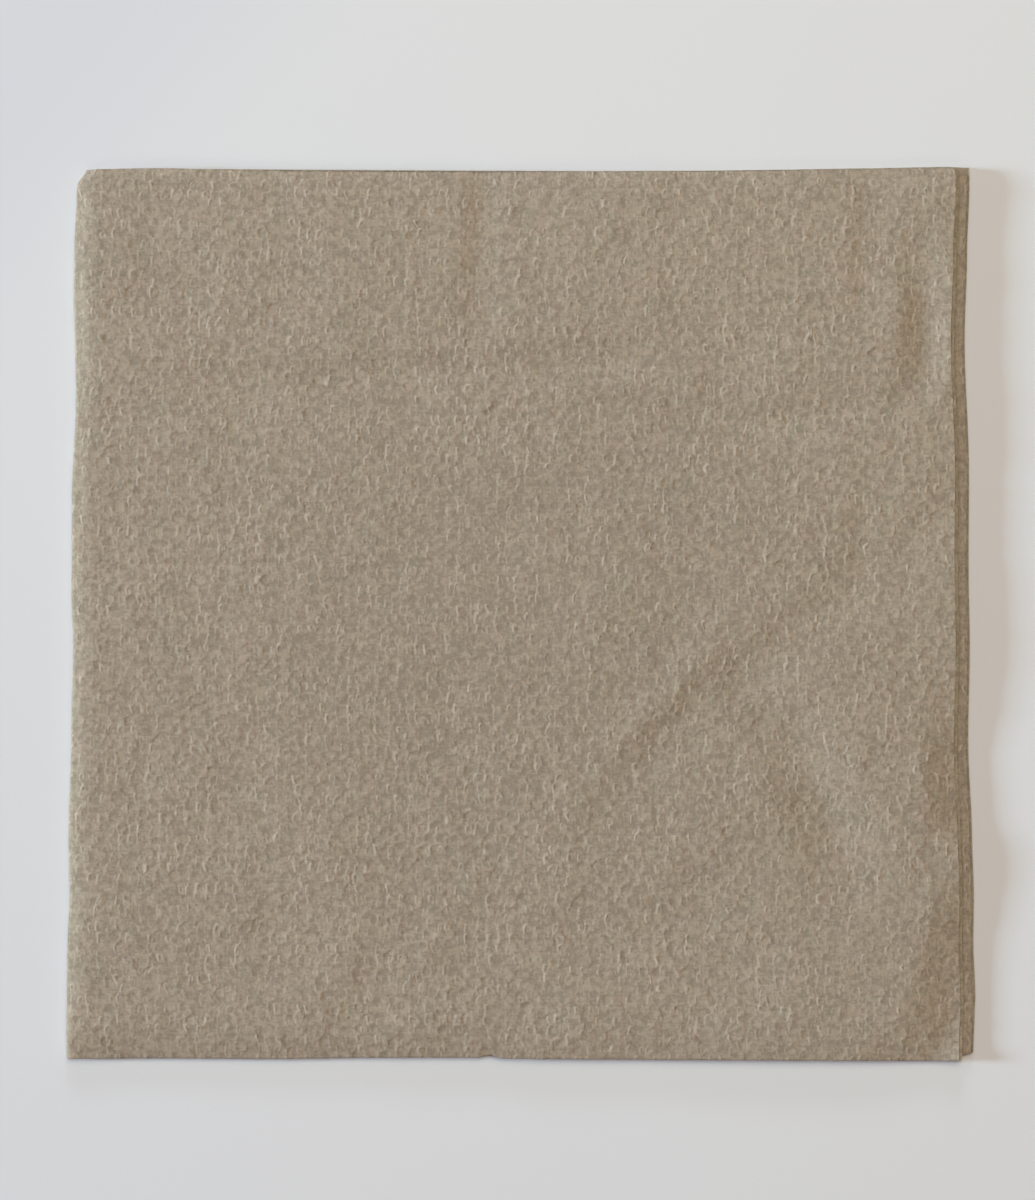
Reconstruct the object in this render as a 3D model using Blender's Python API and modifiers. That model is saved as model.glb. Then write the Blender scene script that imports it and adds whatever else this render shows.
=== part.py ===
"""A brown paper napkin, folded in quarters and lying flat.

One square sheet of two-ply tissue is folded in half along its front edge, and
the pair is folded in half again along its left edge. Four layers then lie on
each other: layer 1 is the lowest and layer 4 is the one that shows. Layers 1
and 2 meet at the front, and so do 3 and 4. Layers 1 and 4 meet at the left,
round the fold that joins 2 and 3. The right and the back show cut edges only.

Units are metres and +Z is up. The origin is under the middle of the napkin.
"""
import math

import bmesh
import bpy
from mathutils import Vector

# Cut sheet
SHEET_WIDTH = 0.254
SHEET_LENGTH = 0.254
PAPER = 0.00022
LAYER_GAP = 0.00026

# Where the folds lie
UPPER_SETBACK = 0.0017
UPPER_SKEW = 0.0006
SLIP_SHARE = 0.6

# Cut edges and folded edges that wander a little
EDGE_WAVE = 0.0004
BACK_CORNER_TUCK = 0.0012
BACK_CORNER_LENGTH = 0.0030
FRONT_CORNER_CUT = 0.0008
FRONT_CORNER_LENGTH = 0.0020
NICK_DEPTH = 0.0005
NICK_HALF_WIDTH = 0.0017
NICK_PLACE_SHARE = 0.466

# How the layers puff up, as shares of the air between the four layers
REST_SHARE = 0.35
LEFT_PRESS_WIDTH = 0.0042
LEFT_PRESS_SHARES = ((0.00, 0.15), (0.08, 0.60), (0.70, 0.60), (0.84, 0.84), (0.95, 0.84), (1.00, 0.50))
FRONT_PRESS_WIDTH = 0.0056
FRONT_PRESS_SHARES = ((0.00, 0.90), (0.04, 1.00), (0.38, 1.00), (0.54, 0.55), (0.90, 0.40), (1.00, 0.20))
BACK_PRESS_WIDTH = 0.0034
BACK_PRESS_SHARE = 0.60
FREE_EDGE_LIFT_SHARE = 0.20

# Grid of the sheet
EDGE_CELL = 0.0010
EDGE_CELL_GROWTH = 2.2
EDGE_CELLS = 3
TOP_CELLS = 24
HIDDEN_CELLS = 10
FOLD_CELLS = 6

# Outline: place along an edge and how far it stands out, in EDGE_WAVE
LEFT_EDGE_SHARES = (
    (0.00, 2.2), (0.12, 2.1), (0.18, 1.25), (0.24, 1.85), (0.35, 1.1), (0.46, 0.5), (0.52, 1.2),
    (0.63, 1.3), (0.74, 0.0), (0.80, 0.5), (0.86, 1.05), (0.91, 0.9), (1.00, 0.0),
)
RIGHT_EDGE_SHARES = (
    (0.00, -0.5), (0.07, 0.3), (0.12, -0.3), (0.18, 0.0), (0.24, -0.5), (0.35, -1.65), (0.46, -0.9),
    (0.54, -1.15), (0.66, -0.8), (0.80, -2.05), (0.91, -0.95), (0.97, 0.0), (1.00, 0.0),
)
FRONT_EDGE_SHARES = (
    (0.00, 1.0), (0.10, 0.6), (0.22, 0.6), (0.33, -0.1), (0.43, -0.4), (0.50, -0.05), (0.62, -0.1),
    (0.72, -0.1), (0.85, -0.2), (1.00, -0.3),
)
BACK_EDGE_SHARES = (
    (0.00, 0.0), (0.09, 0.45), (0.20, -0.5), (0.27, -1.05), (0.45, -1.0), (0.55, -0.85), (0.70, -0.85),
    (0.77, -0.65), (0.88, -0.25), (0.97, 0.2), (1.00, -0.2),
)

# Soft creases of the top: how wide the side before and the side past the line are, in
# CREASE_WIDTH, and the corners of the line as (across, along) shares of the panel with the
# depth there, in CREASE_DEPTH. A ridge has negative depths.
CREASE_WIDTH = 0.010
CREASE_DEPTH = 0.00010
CREASE_SHARES = (
    (0.32, 0.42, ((0.454, 1.02, 3.6), (0.454, 0.965, 3.2), (0.452, 0.90, 2.2), (0.453, 0.83, 0.0))),
    (0.80, 0.28, ((0.03, 0.765, 1.0), (0.15, 0.763, 2.2), (0.26, 0.766, 3.4), (0.35, 0.770, 3.6),
                  (0.43, 0.775, 4.0), (0.50, 0.780, 3.8), (0.58, 0.788, 3.6), (0.655, 0.800, 1.8),
                  (0.745, 0.797, 0.0))),
    (0.60, 0.32, ((0.03, 0.724, 0.8), (0.45, 0.724, 1.0), (0.63, 0.736, 2.4), (0.68, 0.724, 4.0),
                  (0.77, 0.712, 3.6), (0.81, 0.722, 2.6), (0.90, 0.727, 0.3))),
    (0.30, 0.60, ((0.888, 0.99, 2.0), (0.888, 0.92, 3.0), (0.886, 0.84, 1.4), (0.884, 0.80, 0.2))),
    (0.50, 0.40, ((0.950, 0.94, 1.0), (0.955, 0.885, 4.8), (0.958, 0.83, 6.4), (0.957, 0.78, 5.0),
                  (0.930, 0.745, 1.0))),
    (0.32, 0.22, ((0.886, 0.64, 0.5), (0.881, 0.60, 3.0), (0.874, 0.56, 1.8), (0.866, 0.54, 0.3))),
    (0.34, 1.00, ((0.985, 0.645, 1.6), (0.966, 0.604, 1.8), (0.890, 0.548, 2.2), (0.825, 0.496, 2.8),
                  (0.770, 0.450, 3.4), (0.725, 0.415, 3.4), (0.690, 0.387, 3.0), (0.657, 0.359, 2.7),
                  (0.634, 0.330, 2.5), (0.612, 0.297, 2.2), (0.583, 0.255, 1.5), (0.563, 0.21, 0.0))),
    (0.45, 0.30, ((0.725, 0.492, -0.3), (0.705, 0.460, -2.2), (0.660, 0.397, -2.8),
                  (0.618, 0.354, -2.2), (0.600, 0.327, -0.3))),
    (0.80, 0.70, ((0.76, 0.400, 1.0), (0.80, 0.362, 3.8), (0.83, 0.315, 5.0), (0.85, 0.250, 4.8),
                  (0.872, 0.20, 1.8))),
    (0.60, 0.30, ((0.989, 0.395, 1.2), (0.991, 0.340, 7.0), (0.991, 0.275, 7.0), (0.975, 0.235, 1.6))),
    (0.95, 0.40, ((1.03, 0.236, 3.0), (1.01, 0.146, 8.5), (0.980, 0.022, 9.0), (0.92, -0.028, 3.0))),
    (0.25, 0.70, ((0.209, 0.213, 0.5), (0.216, 0.157, 2.6), (0.209, 0.123, 0.5))),
    (0.60, 0.35, ((0.312, 0.175, -0.3), (0.305, 0.12, -2.2), (0.285, 0.055, -0.3))),
    (0.35, 0.25, ((0.402, 0.150, -0.3), (0.395, 0.112, -2.0), (0.372, 0.079, -0.3))),
)

# What follows from these
PITCH = PAPER + LAYER_GAP
AIR = 3 * LAYER_GAP
FIRST_RADIUS = PITCH / 2
SECOND_RADIUS = PITCH
FIRST_HALF_ARC = FIRST_RADIUS * math.pi / 2
SECOND_HALF_ARC = SECOND_RADIUS * math.pi / 2
STACK = 3 * PITCH
LENGTH = SHEET_LENGTH / 2 - FIRST_HALF_ARC
LOWER_WIDTH = (SHEET_WIDTH + UPPER_SETBACK) / 2 - SECOND_HALF_ARC
UPPER_WIDTH = (SHEET_WIDTH - UPPER_SETBACK) / 2 - SECOND_HALF_ARC


def clear_scene():
    for thing in list(bpy.data.objects):
        bpy.data.objects.remove(thing, do_unlink=True)


def ease(share):
    """Goes smoothly from 0 to 1 as the share does."""
    share = min(max(share, 0.0), 1.0)
    return share * share * (3 - 2 * share)


def along_table(shares, place):
    """Reads a table of (place, value) pairs with smooth steps between its points."""
    for (start, low), (end, high) in zip(shares, shares[1:]):
        if place <= end:
            return low + (high - low) * ease((place - start) / (end - start))
    return shares[-1][1]


def first_fold(along):
    """Folds the sheet at the front: distance from the fold, and height in the pair."""
    if abs(along) < FIRST_HALF_ARC:
        turn = along / FIRST_RADIUS
        return -FIRST_RADIUS * math.cos(turn), FIRST_RADIUS * math.sin(turn)
    return abs(along) - FIRST_HALF_ARC, math.copysign(FIRST_RADIUS, along)


def second_fold(across, height):
    """Folds the pair at the left: distance from the fold, and height from its middle.

    The inner layers have less fold to go round, so they reach a little further out.
    """
    radius = SECOND_RADIUS + height
    if abs(across) < SECOND_HALF_ARC:
        turn = across / SECOND_RADIUS
        return -radius * math.cos(turn), radius * math.sin(turn)
    run = abs(across) - SECOND_HALF_ARC
    slip = height * math.pi / 2 * SLIP_SHARE
    return run * (1 - slip / LOWER_WIDTH), math.copysign(radius, across)


def run_distance(point, start, end):
    """Distance of a point from a straight run, the share along it, and the side it lies on."""
    run = end - start
    away = point - start
    share = min(max(away.dot(run) / run.length_squared, 0), 1)
    return (away - share * run).length, share, run.cross(away)


def crease_relief(x, y):
    """Depth of the soft creases under the smooth top, as a negative height."""
    relief = 0.0
    for before_share, past_share, corner_shares in CREASE_SHARES:
        nearest = math.inf
        for low, high in zip(corner_shares, corner_shares[1:]):
            start = Vector((low[0] * LOWER_WIDTH, low[1] * LENGTH))
            end = Vector((high[0] * LOWER_WIDTH, high[1] * LENGTH))
            distance, share, side = run_distance(Vector((x, y)), start, end)
            if distance < nearest:
                nearest = distance
                depth = low[2] + share * (high[2] - low[2])
                width = CREASE_WIDTH * (past_share if side > 0 else before_share)
        relief -= CREASE_DEPTH * depth * ease(1 - nearest / width)
    return relief


def press(distance, width):
    """How much of a press is felt at a distance from the edge that it follows."""
    return min(max(1 - distance / width, 0), 1)


def rise(x, y):
    """How far the top layer stands over or under its height in a tight stack."""
    across = min(max(x / LOWER_WIDTH, 0), 1)
    along = min(max(y / LENGTH, 0), 1)
    share = REST_SHARE + FREE_EDGE_LIFT_SHARE * across**3
    share -= along_table(LEFT_PRESS_SHARES, along) * press(x, LEFT_PRESS_WIDTH) ** 3
    share -= along_table(FRONT_PRESS_SHARES, across) * press(y, FRONT_PRESS_WIDTH) ** 2
    share -= BACK_PRESS_SHARE * press(LENGTH - y, BACK_PRESS_WIDTH) ** 2
    return AIR * share + crease_relief(x, y)


def wander(x, y, level):
    """Moves a point sideways, so that the edges and corners take their true lines."""
    across = min(max(x / LOWER_WIDTH, 0), 1)
    along = min(max(y / LENGTH, 0), 1)
    left = EDGE_WAVE * along_table(LEFT_EDGE_SHARES, along)
    right = EDGE_WAVE * along_table(RIGHT_EDGE_SHARES, along)
    front = EDGE_WAVE * along_table(FRONT_EDGE_SHARES, across)
    back = EDGE_WAVE * along_table(BACK_EDGE_SHARES, across)
    skew = UPPER_SKEW * level * across
    tuck = BACK_CORNER_TUCK * ease(1 - (LENGTH - y) / BACK_CORNER_LENGTH) ** 2
    tuck *= ease(1 - x / BACK_CORNER_LENGTH)
    cut = FRONT_CORNER_CUT * (1 - level) * ease(1 - (LOWER_WIDTH - x) / FRONT_CORNER_LENGTH)
    cut *= ease(1 - y / FRONT_CORNER_LENGTH)
    nick = NICK_DEPTH * level * ease(1 - abs(x - NICK_PLACE_SHARE * LOWER_WIDTH) / NICK_HALF_WIDTH)
    nick *= ease(1 - y / NICK_HALF_WIDTH)
    moved_x = x - left * (1 - across) + right * across + tuck
    moved_y = y - front * (1 - along) + back * along - skew + cut + nick
    return moved_x, moved_y


def folded(across, along):
    """Takes a point of the cut sheet to its place in the folded napkin."""
    y, height = first_fold(along)
    x, height = second_fold(across, height)
    level = (height + STACK / 2) / STACK
    z = height + STACK / 2 + PAPER / 2 + level * rise(x, y)
    return Vector((*wander(x, y, level), z))


def run_stations(length, cells, extra=()):
    """Distances from a fold to the cut edge, close together near both ends."""
    steps = [EDGE_CELL * EDGE_CELL_GROWTH ** count for count in range(EDGE_CELLS)]
    near = [sum(steps[:count]) for count in range(EDGE_CELLS)]
    far = [length - place for place in reversed(near)]
    start = sum(steps)
    cell = (length - 2 * start) / cells
    middle = [start + cell * count for count in range(cells + 1)]
    return sorted(near + middle + far + list(extra))


def sheet_stations(low_run, high_run, half_arc, extra=()):
    """Lines across the flat sheet: one run, the round of the fold, the run of the top layer."""
    low = [-(half_arc + place) for place in reversed(run_stations(low_run, HIDDEN_CELLS))]
    arc = [half_arc * (2 * count / FOLD_CELLS - 1) for count in range(1, FOLD_CELLS)]
    high = [half_arc + place for place in run_stations(high_run, TOP_CELLS, extra)]
    return low + arc + high


def centre(sheet):
    """Moves the sheet sideways, so that the origin is under the napkin's middle.

    The folds at the left and the front stand out by half the paper, the cut edges by nothing.
    """
    for axis in (0, 1):
        places = [vert.co[axis] for vert in sheet.verts]
        middle = (min(places) - PAPER / 2 + max(places)) / 2
        for vert in sheet.verts:
            vert.co[axis] -= middle


def napkin_mesh():
    """The folded sheet as an open surface, through the middle of the paper."""
    nick = NICK_PLACE_SHARE * LOWER_WIDTH
    columns = sheet_stations(
        LOWER_WIDTH, UPPER_WIDTH, SECOND_HALF_ARC, (nick - NICK_HALF_WIDTH, nick, nick + NICK_HALF_WIDTH)
    )
    rows = sheet_stations(LENGTH, LENGTH, FIRST_HALF_ARC)
    sheet = bmesh.new()
    bmesh.ops.create_grid(sheet, x_segments=len(columns) - 1, y_segments=len(rows) - 1, size=1)
    for vert in sheet.verts:
        column = round((vert.co.x + 1) / 2 * (len(columns) - 1))
        row = round((vert.co.y + 1) / 2 * (len(rows) - 1))
        vert.co = folded(columns[column], rows[row])
    centre(sheet)
    mesh = bpy.data.meshes.new("napkin")
    sheet.to_mesh(mesh)
    sheet.free()
    return mesh


def tissue_material():
    material = bpy.data.materials.new("kraft_tissue")
    material.use_nodes = True
    surface = material.node_tree.nodes["Principled BSDF"]
    surface.inputs["Base Color"].default_value = (0.323, 0.266, 0.202, 1.0)
    surface.inputs["Roughness"].default_value = 0.9
    surface.inputs["Metallic"].default_value = 0.0
    return material


def make_napkin(collection):
    napkin = bpy.data.objects.new("napkin", napkin_mesh())
    napkin.data.materials.append(tissue_material())
    collection.objects.link(napkin)
    thickness = napkin.modifiers.new("paper", "SOLIDIFY")
    thickness.thickness = PAPER
    thickness.offset = 0.0
    thickness.use_even_offset = True


def main():
    clear_scene()
    collection = bpy.data.collections.new("paper_napkin")
    bpy.context.scene.collection.children.link(collection)
    make_napkin(collection)


main()
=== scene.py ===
import math

import bmesh
import bpy
import numpy as np
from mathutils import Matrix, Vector, geometry


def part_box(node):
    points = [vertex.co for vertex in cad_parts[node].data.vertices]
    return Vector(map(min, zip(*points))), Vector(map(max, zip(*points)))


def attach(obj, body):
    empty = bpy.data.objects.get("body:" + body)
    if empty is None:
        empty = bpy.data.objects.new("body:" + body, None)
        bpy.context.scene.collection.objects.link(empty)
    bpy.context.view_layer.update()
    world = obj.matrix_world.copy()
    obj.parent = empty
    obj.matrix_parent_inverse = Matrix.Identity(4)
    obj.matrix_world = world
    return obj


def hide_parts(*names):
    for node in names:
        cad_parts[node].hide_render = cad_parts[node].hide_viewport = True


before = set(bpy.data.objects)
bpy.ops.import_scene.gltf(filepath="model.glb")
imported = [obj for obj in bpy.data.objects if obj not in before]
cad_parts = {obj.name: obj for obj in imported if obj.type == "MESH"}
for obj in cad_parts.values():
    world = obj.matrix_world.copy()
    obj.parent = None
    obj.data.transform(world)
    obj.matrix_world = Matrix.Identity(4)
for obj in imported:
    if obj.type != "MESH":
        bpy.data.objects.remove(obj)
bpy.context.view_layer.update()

# A brown paper napkin folded in quarters, seen from above on a pale table.
# Lengths are in metres. Layer 4 is on top, layer 1 lies on the table, and the
# outer face of the sheet is the one that shows on layers 4 and 1. A level is a
# height in the stack, from 0 in layer 1 to 1 in layer 4.

# Cut sheet and folds, the same as in the part's source
SHEET_WIDTH = 0.254
SHEET_LENGTH = 0.254
PAPER = 0.00022
LAYER_GAP = 0.00026
UPPER_SETBACK = 0.0017
UPPER_SKEW = 0.0006
SLIP_SHARE = 0.6

# Corners and the nick in the front fold, the same as in the part's source
BACK_CORNER_TUCK = 0.0012
BACK_CORNER_LENGTH = 0.0030
FRONT_CORNER_CUT = 0.0008
FRONT_CORNER_LENGTH = 0.0020
NICK_DEPTH = 0.0005
NICK_HALF_WIDTH = 0.0017
NICK_PLACE_SHARE = 0.466

# Outline, the same as in the part's source: place along an edge and how far it stands
# out there, in EDGE_WAVE
EDGE_WAVE = 0.0004
LEFT_EDGE_SHARES = (
    (0.00, 2.2), (0.12, 2.1), (0.18, 1.25), (0.24, 1.85), (0.35, 1.1), (0.46, 0.5), (0.52, 1.2),
    (0.63, 1.3), (0.74, 0.0), (0.80, 0.5), (0.86, 1.05), (0.91, 0.9), (1.00, 0.0),
)
RIGHT_EDGE_SHARES = (
    (0.00, -0.5), (0.07, 0.3), (0.12, -0.3), (0.18, 0.0), (0.24, -0.5), (0.35, -1.65), (0.46, -0.9),
    (0.54, -1.15), (0.66, -0.8), (0.80, -2.05), (0.91, -0.95), (0.97, 0.0), (1.00, 0.0),
)
FRONT_EDGE_SHARES = (
    (0.00, 1.0), (0.10, 0.6), (0.22, 0.6), (0.33, -0.1), (0.43, -0.4), (0.50, -0.05), (0.62, -0.1),
    (0.72, -0.1), (0.85, -0.2), (1.00, -0.3),
)
BACK_EDGE_SHARES = (
    (0.00, 0.0), (0.09, 0.45), (0.20, -0.5), (0.27, -1.05), (0.45, -1.0), (0.55, -0.85),
    (0.70, -0.85), (0.77, -0.65), (0.88, -0.25), (0.97, 0.2), (1.00, -0.2),
)

# Layers fanned out at the right edge: level and how far it reaches out, in LAYER_FAN
LAYER_FAN = 0.00038
LAYER_FAN_SHARES = ((0.00, 1.40), (0.33, -0.9), (0.67, 0.2), (1.00, 0.0))
FAN_POWER = 6

# How the layers puff up, as shares of the air between the four layers. All but the power
# at the left are the same as in the part's source. Along an edge, a press is a table of
# places and shares. The powers say how sharply it fades over its width.
REST_SHARE = 0.35
LEFT_PRESS_WIDTH = 0.0042
LEFT_PRESS_SHARES = (
    (0.00, 0.15), (0.08, 0.60), (0.70, 0.60), (0.84, 0.84), (0.95, 0.84), (1.00, 0.50),
)
LEFT_PRESS_POWER = 4
FRONT_PRESS_WIDTH = 0.0056
FRONT_PRESS_SHARES = (
    (0.00, 0.90), (0.04, 1.00), (0.38, 1.00), (0.54, 0.55), (0.90, 0.40), (1.00, 0.20),
)
FRONT_PRESS_POWER = 2
BACK_PRESS_WIDTH = 0.0034
BACK_PRESS_SHARE = 0.60
BACK_PRESS_POWER = 2
FREE_EDGE_LIFT_SHARE = 0.20
FREE_EDGE_LIFT_POWER = 3

# Soft creases of the top, nearly as deep as in the part's source: how wide the side before
# and the side past the line are, in CREASE_WIDTH, and the corners of the line as (across,
# along) shares of the panel with the depth there, in CREASE_DEPTH. A ridge has negative depths.
CREASE_WIDTH = 0.010
CREASE_DEPTH = 0.00010
CREASE_SHARES = (
    (0.34, 0.44, ((0.454, 1.02, 2.5), (0.454, 0.965, 2.5), (0.452, 0.90, 2.1), (0.453, 0.84, 1.6),
                  (0.453, 0.80, 0.0))),
    (0.85, 0.34, ((0.03, 0.765, 1.0), (0.15, 0.763, 2.6), (0.26, 0.766, 4.0), (0.35, 0.770, 4.0),
                  (0.43, 0.775, 3.7), (0.50, 0.780, 3.1), (0.58, 0.788, 2.6), (0.655, 0.800, 1.5),
                  (0.745, 0.797, 0.0))),
    (0.60, 0.32, ((0.03, 0.724, 0.8), (0.45, 0.724, 1.0), (0.63, 0.736, 2.6), (0.68, 0.724, 4.6),
                  (0.77, 0.712, 4.0), (0.81, 0.722, 2.8), (0.90, 0.727, 0.3))),
    (0.30, 0.60, ((0.888, 0.99, 1.6), (0.888, 0.92, 2.6), (0.886, 0.84, 1.6), (0.884, 0.80, 0.2))),
    (0.50, 0.40, ((0.950, 0.93, 0.6), (0.955, 0.875, 4.2), (0.958, 0.82, 6.0), (0.957, 0.77, 5.2),
                  (0.930, 0.735, 1.2))),
    (0.36, 0.60, ((0.886, 0.64, 0.5), (0.881, 0.60, 2.4), (0.874, 0.56, 1.8), (0.866, 0.54, 0.3))),
    (0.48, 1.00, ((0.985, 0.645, 1.6), (0.966, 0.604, 1.8), (0.890, 0.548, 1.8), (0.825, 0.496, 2.1),
                  (0.770, 0.450, 2.5), (0.725, 0.415, 2.4), (0.690, 0.387, 2.0), (0.657, 0.359, 1.8),
                  (0.634, 0.330, 1.7), (0.612, 0.297, 1.7), (0.583, 0.255, 1.5), (0.563, 0.21, 0.0))),
    (0.45, 0.36, ((0.725, 0.492, -0.3), (0.705, 0.460, -1.8), (0.660, 0.397, -2.2),
                  (0.618, 0.354, -1.8), (0.600, 0.327, -0.3))),
    (0.80, 0.70, ((0.76, 0.400, 1.4), (0.80, 0.362, 4.4), (0.83, 0.315, 5.6), (0.85, 0.250, 5.4),
                  (0.872, 0.20, 2.4))),
    (0.60, 0.30, ((0.989, 0.395, 1.2), (0.991, 0.340, 7.0), (0.991, 0.275, 7.0), (0.975, 0.235, 1.6))),
    (0.88, 0.40, ((1.03, 0.236, 3.0), (1.01, 0.146, 8.0), (0.980, 0.022, 8.2), (0.92, -0.028, 3.0))),
    (0.25, 0.70, ((0.209, 0.213, 0.5), (0.216, 0.157, 1.4), (0.209, 0.123, 0.5))),
    (0.60, 0.35, ((0.312, 0.150, -0.3), (0.305, 0.10, -1.8), (0.285, 0.035, -0.3))),
    (0.35, 0.25, ((0.402, 0.150, -0.3), (0.395, 0.112, -1.5), (0.372, 0.079, -0.3))),
)

# Random swell of the whole napkin and finer pucker of the top panel: seed, shortest and
# longest wave, and mean slope. Each is made of this number of waves.
SWELL = (11, 0.0060, 0.040, 0.018)
PUCKER = (12, 0.0012, 0.0060, 0.020)
WAVES = 60

# Embossed cells of the top panel: crest lines of uneven height round pits of uneven depth.
# The cells that lie beyond the panel's borders are cut off.
EMBOSS_SEED = 5
CELL = 0.00196
CELL_JITTER_SHARE = 0.38
CELLS_BEYOND = 3
RIDGE_HEIGHT = 0.00008
RIDGE_POWER = 2.0
PIT_DEPTH = 0.00004
PIT_LOW_SHARE = 0.1

# Rings of a pit: their place on the way out to the crest, and the least and greatest share
# of the crest's height that a point of the ring may keep
RING_SHARES = ((0.82, 0.0, 0.9), (0.50, 0.0, 0.3))

# Spots where the emboss is flatter: middle across and along, half width, half length, and
# the share of its height that is lost
FLAT_SPOT_SHARES = ((0.48, 0.53, 0.13, 0.10, 0.45), (0.88, 0.10, 0.10, 0.07, 0.40))

# Grids of the plain parts of the sheet, and the angle in degrees past which an edge is sharp
EDGE_CELL = 0.0010
EDGE_CELL_GROWTH = 2.2
EDGE_CELLS = 3
FOLD_CELLS = 6
UNDERSIDE_CELLS = 64
HIDDEN_CELLS = 26
SHARP_ANGLE = 60

# Distances under which points are taken as one, or as lying on the panel's border. The
# first is a share of a cell.
SAME_POINT_SHARE = 1e-9
WELD = 2e-7
SLIVER = 1e-5
BORDER_REACH = 2e-5

# Tissue colours, linear
TISSUE = (0.3260, 0.2688, 0.2030)
TONE_RANGE = 0.19
GREEN_TINT = (0.302, 0.275, 0.198)
RED_TINT = (0.352, 0.258, 0.207)
TINT_CONTRAST = 1.2
TINT_SHARE = 0.24
# The light fibre colour also paints the highlights, and the dark fibre colour the shade
LIGHT_FIBRE_AND_HIGHLIGHT = (0.50, 0.43, 0.345)
DARK_FIBRE_AND_SHADE = (0.17, 0.13, 0.09)
SPECK = (0.09, 0.06, 0.04)
TISSUE_ROUGHNESS = 0.9
SPECULAR_LEVEL = 0.15

# How far the bump stands out, in metres
GRAIN_DEPTH = 0.0000055

# All other lengths of the materials are in millimetres, and so are places in them
MILLIMETRES = 1000

# Warmer tint painted along the lit left fold, as painted light that offsets the cool window light
# there, by place across the napkin
FOLD_LIGHT_TINT = (1.0, 0.965, 0.91)
FOLD_TINT_START = -60.5
FOLD_TINT_END = -64.0

# Grain of the tissue as soft noise: size, detail and roughness
GRAINS = {
    "fine": (0.17, 1.0, 0.5),
    "speckle": (0.40, 1.0, 0.5),
    "mottle": (0.85, 2.0, 0.5),
    "lump": (1.1, 1.0, 0.5),
    "patch": (2.6, 1.0, 0.5),
    "tint": (3.0, 1.0, 0.5),
    "cloud": (9.0, 3.0, 0.6),
}

# Felt of fibres too fine to tell apart: angle in degrees and weight
FELT_LENGTH = 0.90
FELT_WIDTH = 0.28
FELT_ANGLES = ((4, 1.5), (93, 0.5))

# Marks of the forming wire: waves per millimetre across and along, and how strong
WIRE_WAVES = ((0.499, -0.848, 1.0), (1.196, 0.820, 0.8), (1.688, -0.027, 0.6), (0.677, 1.675, 0.6),
              (0.0, 2.112, 0.4))

# Strokes: spacing, length, width, spread of their headings in degrees, and offset of the
# pattern. Half a stroke is at least the least share of the length, and longer by up to the
# varied share. It fades from the end share of its half length on.
# The wall strokes are painted highlights of cell walls that face the light, each with a painted shadow
# on its right; the light and dark fibres are the paper's own
WALL_HIGHLIGHT_STROKES = (0.90, 0.95, 0.26, 40, 0.0)
LIGHT_FIBRES = (0.62, 1.1, 0.20, 180, 40.0)
DARK_FIBRES = (0.62, 1.1, 0.20, 180, 90.0)
STROKE_LEAST_SHARE = 0.2
STROKE_VARIED_SHARE = 0.35
STROKE_END_SHARE = 0.3
STROKE_TAPER = 1.3
STROKE_SHADOW_SHARE = 1.1
STROKE_POWER = 1.6

# Dimples: spacing, radius, width of the rim and offset of the pattern, and how their rows,
# sizes and strengths vary. A highlight is painted on the rim on the side that DIMPLE_LIT_SIDE
# points to, toward the light, more and more between the two lit shares, and painted shade on
# the bank just inside it.
DIMPLES = (1.42, 0.52, 0.34, 11.0)
DIMPLE_WAVER_SHARE = 0.55
DIMPLE_RANDOMNESS = 0.5
DIMPLE_STRETCH = (1.3, 0.8, 0.0)
DIMPLE_LEAST_SHARE = 0.8
DIMPLE_VARIED_SHARE = 0.4
DIMPLE_POWER = 1.8
DIMPLE_LIT_SIDE = (-0.95, 0.35, 0.0)
DIMPLE_LIT_SHARES = (0.1, 0.85)

# Specks: spacing, radius, share of the places that have one, and offset of the pattern
SPECKS = (3.1, 0.13, 0.05, 7.0)
SPECK_CORE_SHARE = 0.4

# Painted shade in the pits between the fibres: where the speckle starts to be one, and where it is one
# in full
PIT_SHADE_START = 0.22
PIT_SHADE_END = 0.55

# Middle of the napkin, which is darker: square of its radius
MIDDLE_SQUARE = 3200.0

# How much each pattern adds to the tone, to the light fibres and painted highlights, to the dark
# fibres and painted shade, and to the bump
TONE_WEIGHTS = {
    "felt": 0.75, "speckle": -0.7, "mottle": 2.5, "lump": 2.5, "patch": 0.4, "cloud": 0.4,
    "weave": 0.18, "middle": -0.40,
}
# The wall strokes and the lit parts of the rims are painted highlights; the stroke shadows, the banks
# and the pits are painted shade
LIGHT_WEIGHTS = {"strokes": 0.42, "light fibres": 0.25, "painted rim highlights": 0.82}
DARK_WEIGHTS = {"stroke shadows": 0.32, "dark fibres": 0.28, "pits": 0.26, "painted bank shade": 0.55}
BUMP_WEIGHTS = {"fine": 0.5, "mottle": 1.8, "lump": 2.6, "weave": 0.3, "rims": 1.5}

# Table: linear colours, and the size, detail and weight of its grain. Its far left corner is
# painted darker and bluer, as painted shade, where the way to the left and the way to the back,
# added up, pass CORNER_START.
TABLE = (0.69, 0.69, 0.70)
TABLE_RANGE = 0.015
TABLE_GRAINS = ((60.0, 2.0, 0.5), (0.35, 2.0, 0.5))
TABLE_ROUGHNESS = 0.7
TABLE_SHADED_CORNER = (0.64, 0.65, 0.68)
CORNER_SIDE = (-1.0, 1.0, 0.0)
CORNER_START = 105.0
CORNER_END = 150.0

# Table top, in metres
TABLE_SIZE = 6
TABLE_DROP = 0.00004

# Surroundings as the camera alone sees them, past these distances in millimetres
BACKDROP = (0.66, 0.665, 0.67)
BACKDROP_START = 130.0
BACKDROP_END = 330.0

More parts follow.
